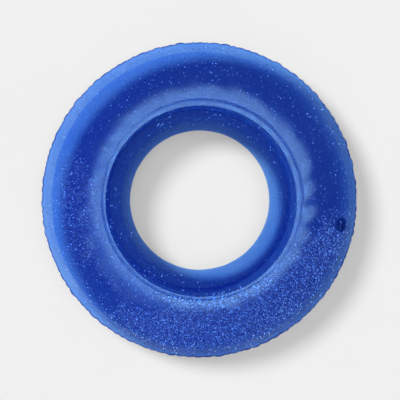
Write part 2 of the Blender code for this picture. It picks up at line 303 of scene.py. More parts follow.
class WallSection:
    """Section of the wall round the hole: one arc from the upper seam to the lower seam."""

    def __init__(self, ring, panel):
        depth = ring.film + ring.weld_gap
        self.seam_radius = ring.seam_radius - depth * math.cos(panel.seam_angle)
        self.seam_height = ring.seam_height - depth * math.sin(panel.seam_angle)
        bulge = self.seam_radius - ring.hole_radius
        self.reach = (bulge * bulge + self.seam_height * self.seam_height) / (2.0 * bulge)
        self.centre = ring.hole_radius + self.reach
        self.half = math.asin(self.seam_height / self.reach)

    def at_angle(self, turn):
        """Radius and height over the weld at angles from the narrowest place of the hole."""
        return self.centre - self.reach * np.cos(turn), self.reach * np.sin(turn)

    def angle_at_radius(self, radius):
        """Angle over the narrowest place of the hole at a distance from the ring's axis."""
        return np.arccos(np.clip((self.centre - radius) / self.reach, -1.0, 1.0))


def smooth_step(value, low, high):
    """Smooth ramp from 0 at low to 1 at high."""
    share = np.clip((value - low) / (high - low), 0.0, 1.0)
    return share * share * (3.0 - 2.0 * share)


def bell(value, width):
    """Bell curve of height 1 round zero."""
    return np.exp(-((value / width) ** 2))


def unit(vectors):
    """Vectors scaled to length 1."""
    return vectors / np.linalg.norm(vectors, axis=-1, keepdims=True)


def full_turn(steps):
    """Angles round a full turn, one row each."""
    return np.linspace(0.0, FULL_TURN, steps, endpoint=False)[:, None]


def ring_points(radius, height, azimuth):
    """Points at distances from the ring's axis, heights and azimuths."""
    x, y = radius * np.cos(azimuth), radius * np.sin(azimuth)
    return np.stack(np.broadcast_arrays(x, y, height), axis=-1)


PUCKER_GAPS, PUCKER_SIZES, PUCKER_FADES = (0.5, 1.5), (0.6, 1.25), (0.6, 1.7)  # least and most, as shares
PUCKER_POWER = 0.8


def puckers(ring, azimuth):
    """Gathers of the outer weld at each azimuth.

    Creases lie at uneven angles, and between two of them the film stands out as a half sine of its own
    height. Returns that height (0 on a crease), the way over which it dies out, and the wave of the weld.
    """
    random = np.random.default_rng(ring.seed)
    gaps = random.uniform(*PUCKER_GAPS, ring.puckers)
    creases = np.concatenate([[0.0], np.cumsum(gaps)]) * FULL_TURN / gaps.sum()
    size = gaps * random.uniform(*PUCKER_SIZES, ring.puckers)
    fade = ring.pucker_fade * random.uniform(*PUCKER_FADES, ring.puckers)
    lean = random.uniform(-1.0, 1.0, ring.puckers)
    place = np.clip(np.searchsorted(creases, azimuth, side="right") - 1, 0, ring.puckers - 1)
    share = (azimuth - creases[place]) / (creases[place + 1] - creases[place])
    height = size[place] * np.sin(math.pi * share) ** PUCKER_POWER
    return height, fade[place], height * lean[place]


DENT_WAVES = 16
PANEL_SEED, WALL_SEED = 2, 9  # steps from the ring's seed to the dents' seeds
DENT_ORDERS = (5, 38)  # waves round the ring
DENT_PITCHES = (0.05, 0.25)  # length of a wave across the section


def dents(azimuth, way, random):
    """Shallow dents of a film under pressure: a sum of slow waves round the ring and across the section."""
    orders = random.integers(*DENT_ORDERS, DENT_WAVES)
    pitches = random.uniform(*DENT_PITCHES, DENT_WAVES)
    phases = random.uniform(0.0, FULL_TURN, DENT_WAVES)
    total = np.zeros(np.broadcast_shapes(azimuth.shape, way.shape))
    for order, pitch, phase in zip(orders, pitches, phases):
        total += np.sin(order * azimuth + FULL_TURN * way / pitch + phase)
    return total / math.sqrt(DENT_WAVES)


FIN_ROWS = np.array([1.0, 0.66, 0.33, 0.0])  # shares of the fin's width
GATHERED = 0.030  # way from the outer weld that has close rows
WELDED = 0.020  # way to the inner seam that has close rows
FILLET_ROWS = 3
PANEL_ROWS = (15, 6, 3, 18, 22)  # rows between the stops of a panel's section
DENT_EDGE = 0.03  # way from a weld over which dents grow
BEAD_WIDTH = 0.0016
GROOVE_WIDTH = 0.0020
BRIM_EDGE = 0.003
LAP_EDGE = 0.0005
GROUND_SOFTNESS = 0.0003


def panel_surface(ring, side):
    """Outer and inner face of the upper (side 1) or lower (side -1) panel, and its thin, lap and fin shares.

    Round the ring, each row of the section is pushed out along its own direction by the gathers at the weld,
    by shallow dents, by the bead and groove of the inner weld and by the lift of the upper one. The groove is
    shallower on two opposite sides. The upper film's thin brim is less thin, and so darker, on one side:
    painted shade of that side. The weld's fin goes in and out with the gathers and waves up and down. The
    lower panel flattens where it lies on the ground.
    """
    section = PanelSection(ring)
    lift = ring.film + ring.weld_gap / 2.0
    start, brim_end, weld_start = lift + ring.fillet, ring.brim + BRIM_EDGE, section.way - WELDED
    stops = (start, GATHERED, ring.brim, brim_end, weld_start, section.way)
    spans = [np.linspace(*span)[1:] for span in zip(stops[:-1], stops[1:], PANEL_ROWS)]
    ways = np.r_[(start, *spans)]
    angles = section.angle_at_way(ways)
    turn = np.linspace(0.0, math.pi / 2.0, FILLET_ROWS + 2)[1:-1]
    edge = np.zeros(len(FIN_ROWS) + len(turn))
    body_radius, body_height = section.at_angle(angles)
    fin_radius = section.tube + ring.fillet + (ring.fin_width - ring.fillet) * FIN_ROWS
    radius = np.r_[fin_radius, section.tube + ring.fillet * (1.0 - np.sin(turn)), body_radius]
    height = np.r_[lift + 0.0 * FIN_ROWS, lift + ring.fillet * (1.0 - np.cos(turn)), body_height]
    out_r = np.r_[0.0 * FIN_ROWS, np.sin(turn), np.cos(angles)]
    out_z = np.r_[0.0 * FIN_ROWS + 1.0, np.cos(turn), np.sin(angles)]
    push_r, push_z = np.r_[edge + 1.0, np.cos(angles)], np.r_[edge, np.sin(angles)]
    way, fin = np.r_[edge, ways], np.r_[FIN_ROWS, 0.0 * turn, 0.0 * ways]
    to_seam = section.way - way

    azimuth = full_turn(ring.around)
    gather, fade, wave = puckers(ring, azimuth)
    middling = gather.mean() * np.exp(-way / ring.pucker_fade)
    push = ring.pucker_depth * (gather * np.exp(-way / fade) - middling)
    random = np.random.default_rng(ring.seed + PANEL_SEED + side)
    inner = smooth_step(way, 0.0, DENT_EDGE) * smooth_step(to_seam, 0.0, DENT_EDGE)
    push += ring.dent_depth * inner * dents(azimuth, way, random)
    groove = ring.groove + ring.groove_drift * np.cos(azimuth - ring.groove_azimuth)
    shallow = ring.shallow * np.cos(2.0 * (azimuth - ring.shallow_azimuth))
    push += ring.bead * bell(to_seam, BEAD_WIDTH)
    push -= ring.groove_depth * (1.0 - shallow) * bell(to_seam - groove, GROOVE_WIDTH)
    push += max(side, 0) * ring.weld_lift * bell(to_seam, ring.weld_fade)
    radius = radius + push * push_r
    height = height + push * push_z + side * ring.fin_wave * wave * fin
    faces = []
    for depth in (0.0, ring.film):
        z = EQUATOR + side * (height - depth * out_z)
        if side < 0:
            ground = ring.rest + ring.film - depth
            z = ground + GROUND_SOFTNESS * np.logaddexp(0.0, (z - ground) / GROUND_SOFTNESS)
        faces.append(ring_points(radius - depth * out_r, z, azimuth))
    # Painted shade: the brim is less thin, and so darker, towards the brim's shade azimuth.
    brim_shade_factor = 1.0 - ring.brim_painted_shade * (0.5 + 0.5 * np.cos(azimuth - ring.brim_shade_azimuth))
    return faces, {
        "thin": (1.0 - smooth_step(way - ring.brim, 0.0, BRIM_EDGE)) * max(side, 0) * brim_shade_factor,
        "lap": 1.0 - smooth_step(to_seam - ring.lap_width, -LAP_EDGE, LAP_EDGE),
        "fin": np.where(fin > 0.0, 1.0, 0.0),
    }


LAP_ROWS = 7
WALL_ROWS = 45
WALL_DENTS = 0.4  # depth of the wall's dents as a share of the panels'
WALL_THIN, WALL_THIN_POWER = 0.5, 1.5  # thinness in the middle of the wall, and how it falls off


def wall_surface(ring):
    """Face towards the hole and face towards the air of the wall round the hole, and its thin and lap shares.

    The section is an arc from seam to seam that goes on under both panels as the inner weld's lap. It has
    shallow dents, and near the upper seam it rises with the weld.
    """
    panel = PanelSection(ring)
    wall = WallSection(ring, panel)
    lap = np.linspace(ring.lap_width / panel.crown, 0.0, LAP_ROWS)[:-1]
    none = 0.0 * lap
    lap_r, lap_z = np.cos(panel.seam_angle - lap), np.sin(panel.seam_angle - lap)
    lap_radius, lap_height = panel.at_angle(panel.seam_angle - lap)
    depth = ring.film + ring.weld_gap
    lap_radius, lap_height = lap_radius - depth * lap_r, lap_height - depth * lap_z
    turn = np.linspace(wall.half, -wall.half, WALL_ROWS)
    arc_radius, arc_height = wall.at_angle(turn)
    radius = np.r_[lap_radius, arc_radius, lap_radius[::-1]]
    height = np.r_[lap_height, arc_height, -lap_height[::-1]]
    out_r = np.r_[lap_r, -np.cos(turn), lap_r[::-1]]
    out_z = np.r_[lap_z, np.sin(turn), -lap_z[::-1]]
    azimuth = full_turn(ring.around // 2)
    random = np.random.default_rng(ring.seed + WALL_SEED)
    way = wall.reach * (wall.half - turn)
    free = np.r_[none, 1.0 - (turn / wall.half) ** 2, none]
    push = WALL_DENTS * ring.dent_depth * free * dents(azimuth, np.r_[none, way, none], random)
    height = height + ring.weld_lift * bell(np.r_[lap * panel.crown, way, none + 1.0], ring.weld_fade)
    faces = [
        ring_points(radius + (push - depth) * out_r, EQUATOR + height + (push - depth) * out_z, azimuth)
        for depth in (0.0, ring.film)
    ]
    thin = WALL_THIN * (1.0 - np.abs(turn) / wall.half) ** WALL_THIN_POWER
    return faces, {"thin": np.r_[none, thin, none], "lap": np.r_[none + 1.0, 0.0 * turn, none + 1.0]}


def grid_quads(points_around, points_along, first=0):
    """Corner numbers of the quads of a grid that closes on itself round the first direction."""
    number = first + np.arange(points_around * points_along).reshape(points_around, points_along)
    following = np.roll(number, -1, axis=0)
    corners = (number[:, :-1], following[:, :-1], following[:, 1:], number[:, 1:])
    return np.stack(corners, axis=-1).reshape(-1, 4)


def shell(outer, inner):
    """Points and quads of a closed shell between two grids that close on themselves round the ring."""
    around, along = outer.shape[:2]
    first = around * along
    number = np.arange(first).reshape(around, along)
    following = np.roll(number, -1, axis=0)
    quads = [grid_quads(around, along), grid_quads(around, along, first)[:, ::-1]]
    for row, turn in ((0, 1), (-1, -1)):
        rim = (number[:, row], number[:, row] + first, following[:, row] + first, following[:, row])
        quads.append(np.stack(rim, axis=-1)[:, ::turn])
    return np.concatenate([outer.reshape(-1, 3), inner.reshape(-1, 3)]), np.concatenate(quads)


def outward(points, quads):
    """The quads of a closed surface, turned so that they face outwards."""
    a, b, c, d = (points[quads[:, i]] for i in range(4))
    volume = np.einsum("ij,ij->", a, np.cross(b, c)) + np.einsum("ij,ij->", a, np.cross(c, d))
    return quads if volume > 0.0 else quads[:, ::-1]


def put(name, data):
    """Put a mesh, a lamp or a camera in the scene as an object."""
    made = bpy.data.objects.new(name, data)
    bpy.context.scene.collection.objects.link(made)
    return made


def add_piece(name, points, quads, material, smooth=True):
    """Put a closed surface of quads in the scene, its quads turned outwards."""
    mesh = bpy.data.meshes.new(name)
    quads = outward(points, quads)
    mesh.vertices.add(len(points))
    mesh.vertices.foreach_set("co", points.astype(np.float32).ravel())
    mesh.loops.add(quads.size)
    mesh.loops.foreach_set("vertex_index", quads.astype(np.int32).ravel())
    mesh.polygons.add(len(quads))
    mesh.polygons.foreach_set("loop_start", np.arange(0, quads.size, 4, dtype=np.int32))
    mesh.update(calc_edges=True)
    mesh.validate()
    if smooth:
        mesh.shade_smooth()
    else:
        mesh.shade_flat()
    mesh.materials.append(material)
    return put(name, mesh)


def set_attribute(piece, name, values):
    """Store one number for each corner of a piece."""
    attribute = piece.data.attributes.new(name, "FLOAT", "POINT")
    attribute.data.foreach_set("value", np.ascontiguousarray(values, dtype=np.float32).ravel())


def add_film(name, faces, shares, material):
    """Film between two faces; shares over it are stored on the corners of both faces."""
    piece = add_piece(name, *shell(*faces), material)
    for key, share in shares.items():
        set_attribute(piece, key, np.tile(np.broadcast_to(share, faces[0].shape[:2]), (2, 1)))
    return piece


def belong(piece, body, slot, *nodes):
    """Let a piece ride on a body, in the place of CAD nodes; the slot is not used."""
    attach(piece, body)
    if nodes:
        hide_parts(*nodes)


def add_node(tree, kind, values=None, **settings):
    """Add a shader node, set it up and fill its inputs with values or links; returns its outputs."""
    made = tree.nodes.new("ShaderNode" + kind)
    for key, value in settings.items():
        setattr(made, key, value)
    for key, value in (values or {}).items():
        if isinstance(value, bpy.types.NodeSocket):
            tree.links.new(value, made.inputs[key])
        else:
            made.inputs[key].default_value = value
    return made.outputs


def noise(tree, scale, detail=2.0):
    """Noise over the object's own coordinates, about 0.5 in the middle."""
    place = add_node(tree, "TexCoord")["Object"]
    return add_node(tree, "TexNoise", {"Vector": place, "Scale": scale, "Detail": detail})["Fac"]


def ranged(tree, value, low, high, start=0.3, end=0.7, **settings):
    """Value mapped from start..end to low..high."""
    values = {"Value": value, "From Min": start, "From Max": end, "To Min": low, "To Max": high}
    return add_node(tree, "MapRange", values, **settings)["Result"]


def math_node(tree, operation, *values):
    """Result of a math node."""
    return add_node(tree, "Math", dict(enumerate(values)), operation=operation)["Value"]


def stored(tree, name):
    """Number stored on a piece's corners."""
    return add_node(tree, "Attribute", attribute_name=name)["Fac"]


def mix_colours(tree, share, first, second):
    """Colour between two colours."""
    return add_node(tree, "Mix", {0: share, 6: first, 7: second}, data_type="RGBA")[2]


def mix_shaders(tree, share, first, second):
    """Shader between two shaders."""
    return add_node(tree, "MixShader", {0: share, 1: first, 2: second})[0]


def principled(tree, finish, **values):
    """Principled shader of a finish; values replace or add to what the finish gives."""
    inputs = {"Base Color": finish["Colour"], "Roughness": finish["Roughness"], "Normal": finish["Normal"]}
    inputs.update({key.replace("_", " "): value for key, value in values.items()})
    return add_node(tree, "BsdfPrincipled", inputs)[0]


def new_material(name):
    """Empty node material and its tree."""
    material = bpy.data.materials.new(name)
    material.use_nodes = True
    material.node_tree.nodes.clear()
    return material, material.node_tree


GRAIN_DEPTH = 0.0002
MOTTLE_COLOUR = (0.93, 1.07)
MOTTLE_ROUGHNESS = (0.75, 1.25)


def finish_group():
    """Shared finish: a soft mottle varies the colour and the roughness, and a fine grain the normal."""
    group = bpy.data.node_groups.new("surface_finish", "ShaderNodeTree")
    number_kind, colour_kind = "NodeSocketFloat", "NodeSocketColor"
    for label in ("Colour", "Roughness", "Mottle Scale", "Grain Scale", "Grain"):
        kind = colour_kind if label == "Colour" else number_kind
        group.interface.new_socket(label, in_out="INPUT", socket_type=kind)
    given = group.nodes.new("NodeGroupInput").outputs
    mottle = noise(group, given["Mottle Scale"], detail=3.0)
    gamma = ranged(group, mottle, *MOTTLE_COLOUR)
    shade = add_node(group, "Gamma", {"Color": given["Colour"], "Gamma": gamma})[0]
    rough = math_node(group, "MULTIPLY", given["Roughness"], ranged(group, mottle, *MOTTLE_ROUGHNESS))
    grain = noise(group, given["Grain Scale"])
    bump = {"Height": grain, "Strength": given["Grain"], "Distance": GRAIN_DEPTH}
    normal = add_node(group, "Bump", bump)["Normal"]
    output = group.nodes.new("NodeGroupOutput")
    for label, kind, value in (
        ("Colour", colour_kind, shade),
        ("Roughness", number_kind, rough),
        ("Normal", "NodeSocketVector", normal),
    ):
        group.interface.new_socket(label, in_out="OUTPUT", socket_type=kind)
        group.links.new(value, output.inputs[label])
    return group


def surface_finish(tree, shade, roughness, mottle_scale, grain_scale, grain):
    """Place the shared finish in a material; returns its colour, roughness and normal."""
    group = bpy.data.node_groups.get("surface_finish") or finish_group()
    values = {
        "Colour": (*shade, 1.0),
        "Roughness": roughness,
        "Mottle Scale": mottle_scale,
        "Grain Scale": grain_scale,
        "Grain": grain,
    }
    return add_node(tree, "Group", values, node_tree=group)


LAP_THINNING = 0.3
FILM_SPREAD = (0.9, 1.1)  # thinnest and thickest places of a film
HAZE_POWER, MIRROR_POWER, SLANT_POWER = 0.35, 1.5, 5.0


def film_material(look):
    """Translucent film: each face tints what shows through, has a haze and mirrors head on and edge on.

    The tint follows the film's thickness, and two films welded in a lap count for less than two. Light on its
    way to other things passes nearly grey, so that shadows stay grey.
    """
    material, tree = new_material("blue_film")
    finish = surface_finish(tree, look.body, look.roughness, mottle_scale=34.0, grain_scale=420.0, grain=0.0)
    single = math_node(tree, "MULTIPLY_ADD", stored(tree, "lap"), -LAP_THINNING, 1.0)
    spread = ranged(tree, noise(tree, scale=9.0, detail=3.0), *FILM_SPREAD)
    thickness = math_node(tree, "MULTIPLY_ADD", stored(tree, "thin"), -look.thin, spread)
    thickness = math_node(tree, "MULTIPLY", thickness, single)
    tint = add_node(tree, "Gamma", {"Color": (*look.tint, 1.0), "Gamma": thickness})[0]
    tint = mix_colours(tree, stored(tree, "fin"), tint, (*look.fin_tint, 1.0))
    clear = add_node(tree, "BsdfTransparent", {"Color": tint})[0]
    body = principled(tree, finish, Roughness=0.6, Specular_IOR_Level=0.0)
    facing = add_node(tree, "LayerWeight", {"Blend": 0.5})["Facing"]
    head_on = math_node(tree, "SUBTRACT", 1.0, facing)
    flat = math_node(tree, "MULTIPLY", math_node(tree, "POWER", head_on, HAZE_POWER), single)
    milky = mix_shaders(tree, math_node(tree, "MULTIPLY", flat, look.haze), clear, body)
    slant = math_node(tree, "MULTIPLY", math_node(tree, "POWER", facing, SLANT_POWER), look.slant)
    level = math_node(tree, "POWER", head_on, MIRROR_POWER)
    share = math_node(tree, "MULTIPLY_ADD", level, look.mirror, slant)
    gleam = {"Color": (*look.gleam, 1.0), "Roughness": finish["Roughness"], "Normal": finish["Normal"]}
    surface = mix_shaders(tree, share, milky, add_node(tree, "BsdfGlossy", gleam)[0])
    grey = add_node(tree, "BsdfTransparent", {"Color": (*look.shadow, 1.0)})[0]
    path = add_node(tree, "LightPath")
    for ray in ("Is Diffuse Ray", "Is Shadow Ray"):
        surface = mix_shaders(tree, path[ray], surface, grey)
    add_node(tree, "OutputMaterial", {"Surface": surface})
    return material


def flake_material(look):
    """Metallised flakes, each between rough violet (tone 0) and smooth silver (tone 1)."""
    material, tree = new_material("glitter_foil")
    scales = {"mottle_scale": 260.0, "grain_scale": 900.0, "grain": 0.1}
    finish = surface_finish(tree, look.silver, look.roughness, **scales)
    tone = stored(tree, "tone")
    violet = ranged(tree, tone, 1.0, 0.0, start=0.3, end=0.6)
    mixed = mix_colours(tree, violet, finish["Colour"], (*look.violet, 1.0))
    rough = math_node(tree, "MULTIPLY", finish["Roughness"], ranged(tree, tone, 3.0, 0.4, start=0.0, end=1.0))
    metal = principled(tree, finish, Base_Color=mixed, Roughness=rough, Metallic=0.8)
    add_node(tree, "OutputMaterial", {"Surface": metal})
    return material


def vinyl_material(valve):
    """Soft moulded vinyl of the valve."""
    material, tree = new_material("valve_vinyl")
    finish = surface_finish(tree, valve.vinyl, 0.39, mottle_scale=180.0, grain_scale=2600.0, grain=0.08)
    add_node(tree, "OutputMaterial", {"Surface": principled(tree, finish)})
    return material


# Painted light: the floor's blue glow behind the film grows over these distances.
PAINTED_LIGHT_NEAR, PAINTED_LIGHT_FULL = 0.33, 0.42  # distances from the glow's start at which it grows and is full


def floor_material(studio):
    """Matt pale floor; a share of its colour shows to the camera and in mirrors without light.

    That share is painted light that lightens the shadow. Behind the film a faint blue painted light takes its
    place, standing in for light that came through the film; it is stronger towards the key light.
    """
    material, tree = new_material("studio_floor")
    finish = surface_finish(tree, studio.floor, 0.8, mottle_scale=3.0, grain_scale=60.0, grain=0.0)
    base = {"Base Color": finish["Colour"], "Roughness": finish["Roughness"], "Specular IOR Level": 0.1}
    matt = add_node(tree, "BsdfPrincipled", base)[0]
    # Painted light: the bare floor glows by this share, which lightens the shadow.
    path = add_node(tree, "LightPath")
    seen = math_node(tree, "MAXIMUM", path["Is Camera Ray"], path["Is Glossy Ray"])
    seen = math_node(tree, "MAXIMUM", seen, path["Is Transmission Ray"])
    bare = math_node(tree, "LESS_THAN", path["Transparent Depth"], 0.5)
    share = math_node(tree, "MULTIPLY", math_node(tree, "MULTIPLY", seen, bare), studio.floor_glow)
    plain = add_node(tree, "Emission", {"Color": (*studio.floor, 1.0)})[0]
    shader = mix_shaders(tree, share, matt, plain)
    # Painted light: behind the film the floor glows faint blue, more so towards the key light, in place of
    # light that came through the film.
    ends = {0: add_node(tree, "TexCoord")["Object"], 1: tuple(studio.painted_light_start)}
    way = add_node(tree, "VectorMath", ends, operation="DISTANCE")["Value"]
    level = ranged(tree, way, studio.painted_light_far, 1.0, start=PAINTED_LIGHT_NEAR, end=PAINTED_LIGHT_FULL)
    behind = math_node(tree, "MULTIPLY", seen, math_node(tree, "SUBTRACT", 1.0, bare))
    strength = math_node(tree, "MULTIPLY", behind, level)
    blue = add_node(tree, "Emission", {"Color": (*studio.painted_through_light, 1.0), "Strength": strength})[0]
    both = add_node(tree, "AddShader", {0: shader, 1: blue})[0]
    add_node(tree, "OutputMaterial", {"Surface": both})
    return material


class ValveFrame:
    """Place and axes of the valve: along the ring, across the film and straight out of it."""

    def __init__(self, ring):
        self.out = np.array(joint("stem_pull")["axis"])
        flat = unit(np.array([self.out[0], self.out[1], 0.0]))
        self.along = np.array([-flat[1], flat[0], 0.0])
        self.across = np.cross(self.out, self.along)
        self.azimuth = math.atan2(flat[1], flat[0])
        self.dip = math.asin(-self.out[2])
        section = PanelSection(ring)
        radius, height = section.at_angle(np.array(self.dip))
        self.place = flat * radius + np.array([0.0, 0.0, EQUATOR - height])

    def point(self, x, y, w):
        """Points in the shared frame from coordinates along, across and out."""
        return (
            self.place
            + np.asarray(x)[..., None] * self.along
            + np.asarray(y)[..., None] * self.across
            + np.asarray(w)[..., None] * self.out
        )


def rounded(corners, radius, steps=4):
    """Closed outline of (radius, height) corners with its corners rounded off."""
    corners = np.array(corners, float)
    before = unit(np.roll(corners, 1, axis=0) - corners)
    after = unit(np.roll(corners, -1, axis=0) - corners)
    share = np.linspace(0.0, 1.0, steps)[None, :, None]
    rest = 1 - share
    start, end = corners + radius * before, corners + radius * after
    curve = rest**2 * start[:, None] + 2 * share * rest * corners[:, None] + share**2 * end[:, None]
    return curve.reshape(-1, 2)


CORE = 0.0008  # radius of the corners that are drawn in to the valve's axis


def solid(corners, radius):
    """Rounded outline of a piece without a bore: its corners at the core are drawn in to the valve's axis."""
    outline = rounded(corners, radius)
    outline[:, 0] = np.where(outline[:, 0] < CORE + 1.5 * radius, 0.0, outline[:, 0])
    return outline


def turned(outline, steps):
    """Coordinates along, across and out of a closed outline turned round the valve's axis."""
    turn = full_turn(steps)
    closed = np.concatenate([outline, outline[:1]])
    radius, height = closed[:, 0], closed[:, 1]
    return radius * np.cos(turn), radius * np.sin(turn), np.broadcast_to(height, (steps, len(closed)))


ONE_PLACE = 1e-7
NO_LENGTH = 1e-8
SHARP = math.radians(45.0)


def grid_piece(name, grid, material):
    """Piece from a grid of points that closes on itself, with corners at one place merged."""
    piece = add_piece(name, grid.reshape(-1, 3), grid_quads(*grid.shape[:2]), material)
    bm = bmesh.new()
    bm.from_mesh(piece.data)
    bmesh.ops.remove_doubles(bm, verts=bm.verts, dist=ONE_PLACE)
    bmesh.ops.dissolve_degenerate(bm, edges=bm.edges, dist=NO_LENGTH)
    bmesh.ops.recalc_face_normals(bm, faces=bm.faces)
    bm.to_mesh(piece.data)
    bm.free()
    piece.data.shade_smooth()
    piece.data.set_sharp_from_angle(angle=SHARP)
    return piece


def turned_piece(name, outline, place, valve, material):
    """Round piece of the valve from a closed outline of (radius, height) points."""
    return grid_piece(name, place.point(*turned(outline, valve.steps)), material)


HOLE_REACH = 0.006  # way that the tool for the valve's hole stands out on both sides of the film


class SWIMRING_OT_film(bpy.types.Operator):
    """Build the upper film, the lower film with the valve's hole, and the wall round the hole"""

    bl_idname = "swim_ring.make_film"
    bl_label = "Film"
    bl_options = {"REGISTER", "UNDO"}

    def execute(self, context):
        settings = context.scene.swim_ring
        ring = settings.ring
        material = film_material(settings.film)
        for name, side, node in (("upper_film", 1, "upper_panel"), ("lower_film", -1, "lower_panel")):
            piece = add_film(name, *panel_surface(ring, side), material)
            if side < 0:
                self.cut_valve_hole(piece, ring, settings.valve)
            belong(piece, "ring", "film", node)
        piece = add_film("hole_wall_film", *wall_surface(ring), material)
        belong(piece, "ring", "film", "inner_wall")
        return {"FINISHED"}

    def cut_valve_hole(self, piece, ring, valve):
        """Cut the round hole for the valve's collar out of the lower film."""
        radius = valve.film_hole
        bar = np.array([(0.0, HOLE_REACH), (radius, HOLE_REACH), (radius, -HOLE_REACH), (0.0, -HOLE_REACH)])
        tool = turned_piece("valve_hole", bar, ValveFrame(ring), valve, piece.data.materials[0])
        modifier = piece.modifiers.new("valve_hole", "BOOLEAN")
        modifier.operation = "DIFFERENCE"
        modifier.solver = "EXACT"
        modifier.object = tool
        bpy.context.view_layer.update()
        graph = bpy.context.evaluated_depsgraph_get()
        cut = bpy.data.meshes.new_from_object(piece.evaluated_get(graph))
        piece.modifiers.remove(modifier)
        piece.data = cut
        bpy.data.objects.remove(tool)


# Both ends (degrees), radii (metres), taper (degrees), side of the ring and levelness of each drift.
DRIFTS = {
    "left": ((-200.0, -150.0), (0.262, 0.298, 0.358), 14.0, -1, 0.8),
    "clinging": ((-126.0, -8.0), (0.262, 0.318, 0.392), 34.0, 1, 0.8),
    "crease": ((-132.0, 6.0), (0.366, 0.370, 0.390), 34.0, -1, 0.6),
    "seam": ((-118.0, -46.0), (0.222, 0.240, 0.262), 26.0, 1, 0.3),
    "loose": ((-178.0, -96.0), (0.262, 0.280, 0.388), 20.0, -1, 0.8),
    "right": ((-128.0, -4.0), (0.258, 0.320, 0.382), 34.0, -1, 0.8),
}
# Power of the flakes' tone in each piece: the lower it is, the more flakes are silver.
TONES = {
    "glitter_right": 0.9,
    "glitter_right_over": 0.9,
    "glitter_left": 1.4,
    "glitter_clinging": 0.7,
    "glitter_single": 0.65,
}
DRIFT_ALONG, DRIFT_ACROSS = (1.7, 1.7), (1.4, 1.3)  # shapes of a drift's density
DRIFT_SIZES, SEAM_SIZE = (0.65, 1.3), 1.6
TAPER_START = 0.3
SINGLE_RADII, SINGLE_SIZES, SINGLE_LEVEL = (0.185, 0.388), (0.8, 1.35), 0.8
SINGLE_SIDES = (0.3, 0.7)  # shares of the single flakes below and above
MOST_TILT = 1.2
FILM_CLEARANCE, DENT_CLEARANCE = 2.5, 2.0  # a flake's distance from the film, in films and in dents
FLANGE_CLEARANCE, FLAP_CLEARANCE = 0.003, 0.005
FLAKE_TURNS = (np.arange(6) * FULL_TURN / 6.0)[:, None]
FLAKE_FACES = [[0, 1, 2, 3], [0, 3, 4, 5], [6, 9, 8, 7], [6, 11, 10, 9]]
FLAKE_SIDES = [[k, k + 6, (k + 1) % 6 + 6, (k + 1) % 6] for k in range(6)]
FLAKE_QUADS, FLAKE_POINTS = np.array(FLAKE_FACES + FLAKE_SIDES), 12


def sideways(normal, random):
    """Random direction across each normal."""
    return unit(np.cross(normal, unit(random.normal(size=normal.shape))))


